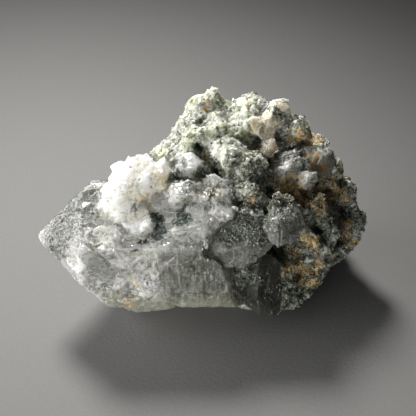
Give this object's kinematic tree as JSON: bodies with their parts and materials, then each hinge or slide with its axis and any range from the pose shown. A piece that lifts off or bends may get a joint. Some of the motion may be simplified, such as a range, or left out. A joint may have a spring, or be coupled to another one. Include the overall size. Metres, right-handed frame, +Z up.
{
  "type": "quartz crystal specimen",
  "caption": "Stout clear quartz crystal with a six-sided point, lying on its side and rooted in a lump of chlorite rock with smaller quartz crystals.",
  "frame": {"origin": "middle of the bottom of the specimen's bounding box, on the surface it rests on", "axes": "+Z up. X runs along the big crystal, its point towards -X and the rock towards +X. -Y is the side that shows its two best prism faces."},
  "size_m": [0.0848, 0.0496, 0.0492],
  "materials": {
    "clear_quartz": "clear to milky, glossy faces with inner veils",
    "smoky_quartz": "grey, cloudy, glossy broken faces",
    "stained_quartz": "cloudy, iron stained, half gloss",
    "chlorite_rock": "granular, glittering, with rust-coloured stains"
  },
  "bodies": {
    "root": {"quartz_crystal": "clear_quartz", "front_quartz_blades": "smoky_quartz", "lower_quartz_crystal": "smoky_quartz", "side_quartz_cluster": "smoky_quartz", "top_quartz_cluster": "stained_quartz", "chlorite_rock": "chlorite_rock"}
  },
  "joints": []
}
